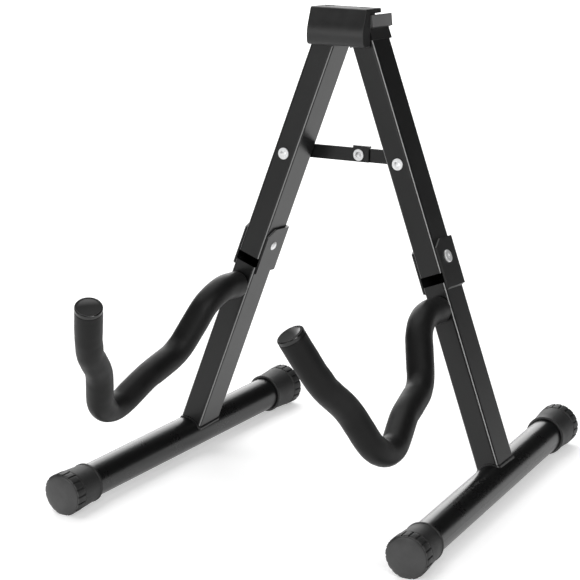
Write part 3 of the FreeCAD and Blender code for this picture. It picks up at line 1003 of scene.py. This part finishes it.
    def _gather(self, piece: bpy.types.Object) -> None:
        """Folds the foam inside the lowest bend and bunches it up a little beside the fold.

        Args:
            piece: the sleeve, still flat in its own plane.
        """
        before, low, after = (
            Vector(corner[:2]) for corner in self.corners[self.low_corner - 1:self.low_corner + 2]
        )
        bend = self.corners[self.low_corner][2]
        arrive, leave = (low - before).normalized(), (after - low).normalized()
        half = arrive.angle(leave) / 2
        inward = (leave - arrive).normalized()
        centre = low + inward * (bend / math.cos(half))
        for vertex in piece.data.vertices:
            spoke = Vector((-vertex.co.y, vertex.co.z)) / MM - centre
            swing = spoke.angle_signed(-inward)
            depth = (bend - spoke.length) / self.radius
            if abs(swing) > half + self.gather_end or depth <= 0.0:
                continue
            bunch = math.exp(-(((abs(swing) - self.gather_angle) / self.gather_width) ** 2))
            fold = math.exp(-((swing / self.fold_width) ** 2))
            shift = self.gather * depth ** self.gather_power * (bunch - self.fold * fold)
            move = -spoke.normalized() * shift * MM
            vertex.co.y -= move.x
            vertex.co.z += move.y

    def _soften(self, piece: bpy.types.Object, side: Side) -> None:
        """Gives the skin the slight lumps of foam pulled over a bent rod.

        Args:
            piece: the sleeve.
            side: which arm, so that the two differ.
        """
        select_only(piece)
        bpy.ops.object.mode_set(mode="EDIT")
        bpy.ops.mesh.select_all(action="SELECT")
        bpy.ops.mesh.remove_doubles(threshold=self.weld * MM)
        bpy.ops.mesh.normals_make_consistent(inside=False)
        bpy.ops.object.mode_set(mode="OBJECT")
        for name, size, strength in self.lumps:
            texture = bpy.data.textures.new(f"{side.label}_{name}", "CLOUDS")
            texture.noise_scale = size * MM
            texture.noise_depth = 1
            finish_modifier(
                piece, "DISPLACE", texture=texture, strength=strength * MM, mid_level=0.5,
                texture_coords="LOCAL",
            )
        select_only(piece)
        bpy.ops.object.shade_smooth_by_angle(angle=self.smooth_angle)


# ---------------------------------------------------------------- CAD nodes


@dataclass
class Hardware:
    """The CAD nodes that show as they are."""

    finishes: Finishes

    def dress_all(self) -> int:
        """Gives every CAD node its finish.

        Returns:
            How many nodes were dressed.
        """
        for name, node in NODES.items():
            for slot in node.material_slots:
                slot.material = self.finishes.get(self.finish_of(name))
        return len(NODES)

    @staticmethod
    def finish_of(name: str) -> Finish:
        """The finish of a node, found with or without its side."""
        if name in NODE_FINISH:
            return NODE_FINISH[name]
        return NODE_FINISH[name.split("_", 1)[1]]


# ---------------------------------------------------------------- studio


@dataclass(frozen=True)
class Panel:
    """A soft light panel aimed at the stand."""

    name: str
    towards: tuple[float, float, float]
    distance: float
    width: float
    height: float
    glow: float

    def build(self, target: Vector) -> None:
        """Adds the panel.

        Args:
            target: the point it faces.
        """
        light = bpy.data.lights.new(self.name, "AREA")
        light.shape = "RECTANGLE"
        light.size = self.width
        light.size_y = self.height
        light.energy = self.glow * math.pi * self.width * self.height
        panel = bpy.data.objects.new(self.name, light)
        direction = Vector(self.towards).normalized()
        panel.location = target + direction * self.distance
        panel.rotation_euler = direction.to_track_quat("Z", "Y").to_euler()
        bpy.context.collection.objects.link(panel)


@dataclass
class Studio:
    """Pale floor, soft light panels and the camera."""

    target: tuple[float, float, float] = (0.0, 0.0, 0.18)
    floor_size: float = 40.0
    floor_shade: float = 0.80
    floor_glow: float = 0.42
    surroundings: float = 0.03
    backdrop: float = 1.0
    panels: Sequence[Panel] = (
        Panel("overhead", (-0.32, 0.18, 0.93), 3.0, 3.2, 3.2, 2.6),
        Panel("front", (0.42, -0.62, 0.66), 3.0, 1.0, 1.0, 5.0),
        Panel("right_edge", (0.80, -0.48, 0.36), 3.0, 0.7, 1.1, 13.0),
        Panel("low_left", (-0.60, 0.80, 0.32), 3.5, 3.0, 2.3, 3.4),
        Panel("low_front", (-0.25, -0.93, 0.25), 3.2, 2.2, 0.8, 3.2),
    )
    eye: tuple[float, float, float] = (1.0151, -1.69475, 0.7538)
    right: tuple[float, float, float] = (0.8603, 0.50796, -0.04308)
    up: tuple[float, float, float] = (-0.10868, 0.26532, 0.95802)
    lens: float = 160.69
    sensor: float = 36.0
    far: float = 100.0

    def build(self) -> None:
        """Makes the floor, the lights and the camera."""
        self._floor()
        self._surround()
        for panel in self.panels:
            panel.build(Vector(self.target))
        self._camera()
        bpy.context.scene.view_settings.view_transform = "Standard"

    def _floor(self) -> None:
        """Lays a pale floor that glows a little, so that it stays pale far away."""
        select_only(None)
        bpy.ops.mesh.primitive_plane_add(size=self.floor_size, location=(0, 0, 0))
        floor = bpy.context.object
        floor.name = "floor"
        shader = Shader("pale_floor")
        shader.feed(
            Base_Color=(self.floor_shade, self.floor_shade, self.floor_shade, 1.0),
            Roughness=0.9,
            Specular_IOR_Level=0.0,
            Emission_Color=(1.0, 1.0, 1.0, 1.0),
            Emission_Strength=self.floor_glow,
        )
        dress(floor, shader.material)

    def _surround(self) -> None:
        """Sets dim light from all round, and a white backdrop behind the floor."""
        world = bpy.data.worlds.new("studio")
        world.use_nodes = True
        tree = world.node_tree
        dim = tree.nodes["Background"]
        bright = tree.nodes.new("ShaderNodeBackground")
        choice = tree.nodes.new("ShaderNodeMixShader")
        path = tree.nodes.new("ShaderNodeLightPath")
        dim.inputs["Color"].default_value = (*(self.surroundings,) * 3, 1.0)
        bright.inputs["Color"].default_value = (*(self.backdrop,) * 3, 1.0)
        tree.links.new(path.outputs["Is Camera Ray"], choice.inputs[0])
        tree.links.new(dim.outputs[0], choice.inputs[1])
        tree.links.new(bright.outputs[0], choice.inputs[2])
        tree.links.new(choice.outputs[0], tree.nodes["World Output"].inputs["Surface"])
        bpy.context.scene.world = world

    def _camera(self) -> None:
        """Sets the camera."""
        camera = bpy.data.cameras.new("camera")
        camera.lens = self.lens
        camera.sensor_width = self.sensor
        camera.clip_end = self.far
        right = Vector(self.right).normalized()
        up = Vector(self.up)
        up = (up - right * up.dot(right)).normalized()
        eye = bpy.data.objects.new("camera", camera)
        eye.matrix_world = frame_matrix(Vector(self.eye), right, up, right.cross(up))
        bpy.context.collection.objects.link(eye)
        bpy.context.scene.camera = eye


def report(pieces: Iterable[bpy.types.Object]) -> None:
    """Logs each new piece and its size."""
    for piece in pieces:
        size = ", ".join(f"{side * 1000:.1f}" for side in piece.dimensions)
        LOG.info("%s: %s mm, %d faces", piece.name, size, len(piece.data.polygons))


def main() -> None:
    """Builds every piece, dresses it and sets up the studio."""
    logging.basicConfig(level=logging.INFO, format="%(name)s %(message)s")
    stance = Stance()
    finishes = Finishes()
    LOG.info("%d CAD nodes dressed", Hardware(finishes).dress_all())
    report(FootCaps(stance, finishes).build())
    sleeve = ArmSleeve(stance, finishes)
    report(sleeve.build(side) for side in Side)
    Studio().build()


if __name__ == "__main__":
    main()
